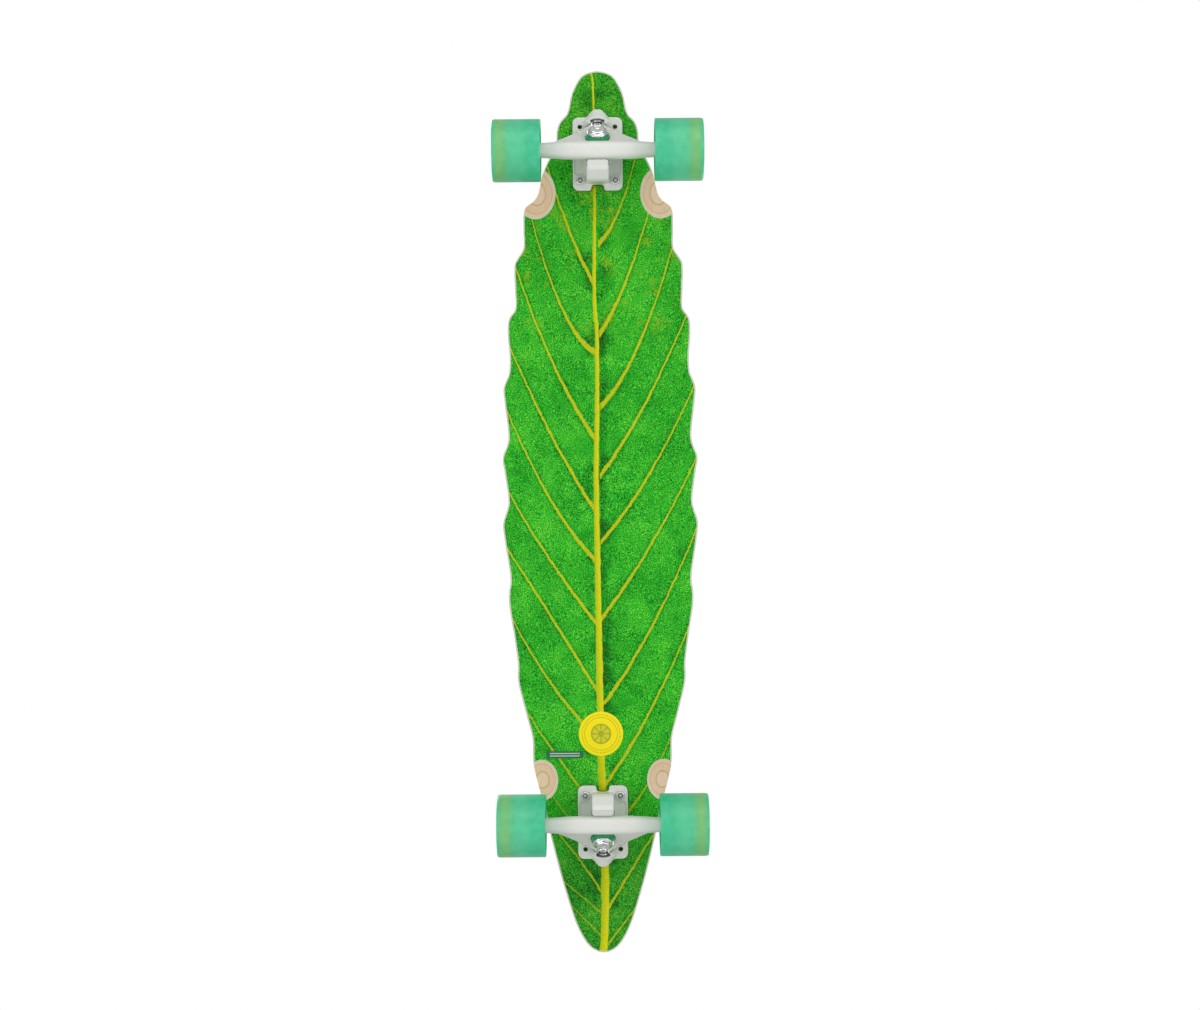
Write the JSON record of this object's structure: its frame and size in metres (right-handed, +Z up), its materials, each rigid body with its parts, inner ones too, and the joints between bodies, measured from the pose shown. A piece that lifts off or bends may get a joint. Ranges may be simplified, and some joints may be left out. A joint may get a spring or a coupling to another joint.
{
  "type": "longboard skateboard",
  "caption": "Pintail longboard: lobed leaf-shaped wooden deck with grip tape on two reverse-kingpin trucks with soft urethane wheels.",
  "frame": {"origin": "on the ground under the middle of the deck, between the wheels' lowest points", "axes": "+X to the nose, along the deck; +Y to the rider's left looking to the nose; +Z up"},
  "size_m": [1.036, 0.2416, 0.1274],
  "materials": {
    "leaf_maple": "printed and lacquered maple plies",
    "grip": "abrasive grip tape",
    "white_casting": "cast aluminium, glossy white paint",
    "riser_rubber": "moulded",
    "cup_urethane": "moulded, translucent",
    "bushing_urethane": "cast, translucent green",
    "wheel_urethane": "cast translucent urethane, soft satin",
    "chrome": "polished",
    "zinc_steel": "zinc plated",
    "bearing_steel": "ground steel"
  },
  "bodies": {
    "board": {"deck": "leaf_maple", "grip_tape": "grip", "nose_baseplate": "white_casting", "nose_riser_pad": "riser_rubber", "nose_pivot_cup": "cup_urethane", "nose_kingpin": "zinc_steel", "nose_kingpin_nut": "chrome", "nose_board_washer": "chrome", "nose_board_bushing": "bushing_urethane", "nose_road_bushing": "bushing_urethane", "nose_road_washer": "chrome", "nose_bolt_1": "zinc_steel", "nose_bolt_nut_1": "zinc_steel", "nose_bolt_2": "zinc_steel", "nose_bolt_nut_2": "zinc_steel", "nose_bolt_3": "zinc_steel", "nose_bolt_nut_3": "zinc_steel", "nose_bolt_4": "zinc_steel", "nose_bolt_nut_4": "zinc_steel", "tail_baseplate": "white_casting", "tail_riser_pad": "riser_rubber", "tail_pivot_cup": "cup_urethane", "tail_kingpin": "zinc_steel", "tail_kingpin_nut": "chrome", "tail_board_washer": "chrome", "tail_board_bushing": "bushing_urethane", "tail_road_bushing": "bushing_urethane", "tail_road_washer": "chrome", "tail_bolt_1": "zinc_steel", "tail_bolt_nut_1": "zinc_steel", "tail_bolt_2": "zinc_steel", "tail_bolt_nut_2": "zinc_steel", "tail_bolt_3": "zinc_steel", "tail_bolt_nut_3": "zinc_steel", "tail_bolt_4": "zinc_steel", "tail_bolt_nut_4": "zinc_steel"},
    "nose_left_wheel": {"nose_left_wheel": "wheel_urethane", "nose_left_inner_bearing": "bearing_steel", "nose_left_outer_bearing": "bearing_steel"},
    "nose_right_wheel": {"nose_right_wheel": "wheel_urethane", "nose_right_inner_bearing": "bearing_steel", "nose_right_outer_bearing": "bearing_steel"},
    "nose_hanger": {"nose_hanger": "white_casting", "nose_axle": "zinc_steel", "nose_left_bearing_spacer": "bearing_steel", "nose_left_axle_nut": "chrome", "nose_right_bearing_spacer": "bearing_steel", "nose_right_axle_nut": "chrome"},
    "tail_left_wheel": {"tail_left_wheel": "wheel_urethane", "tail_left_inner_bearing": "bearing_steel", "tail_left_outer_bearing": "bearing_steel"},
    "tail_right_wheel": {"tail_right_wheel": "wheel_urethane", "tail_right_inner_bearing": "bearing_steel", "tail_right_outer_bearing": "bearing_steel"},
    "tail_hanger": {"tail_hanger": "white_casting", "tail_axle": "zinc_steel", "tail_left_bearing_spacer": "bearing_steel", "tail_left_axle_nut": "chrome", "tail_right_bearing_spacer": "bearing_steel", "tail_right_axle_nut": "chrome"}
  },
  "joints": [
    {"name": "nose_left_spin", "type": "hinge", "parent": "nose_hanger", "child": "nose_left_wheel", "pos_m": [0.414, 0.093, 0.03569], "axis": [0, 1, 0], "continuous": true},
    {"name": "nose_right_spin", "type": "hinge", "parent": "nose_hanger", "child": "nose_right_wheel", "pos_m": [0.414, -0.093, 0.03569], "axis": [0, 1, 0], "continuous": true},
    {"name": "nose_steer", "type": "hinge", "parent": "board", "child": "nose_hanger", "pos_m": [0.4234, 0, 0.07023], "axis": [0.6428, 0, 0.766], "range_deg": [-18, 18], "stiffness_Nm_per_rad": 25, "deforming": ["nose_board_bushing", "nose_road_bushing"]},
    {"name": "tail_left_spin", "type": "hinge", "parent": "tail_hanger", "child": "tail_left_wheel", "pos_m": [-0.3585, 0.093, 0.03569], "axis": [0, 1, 0], "continuous": true},
    {"name": "tail_right_spin", "type": "hinge", "parent": "tail_hanger", "child": "tail_right_wheel", "pos_m": [-0.3585, -0.093, 0.03569], "axis": [0, 1, 0], "continuous": true},
    {"name": "tail_steer", "type": "hinge", "parent": "board", "child": "tail_hanger", "pos_m": [-0.3679, 0, 0.07023], "axis": [-0.6428, 0, 0.766], "range_deg": [-18, 18], "stiffness_Nm_per_rad": 25, "deforming": ["tail_board_bushing", "tail_road_bushing"]}
  ]
}
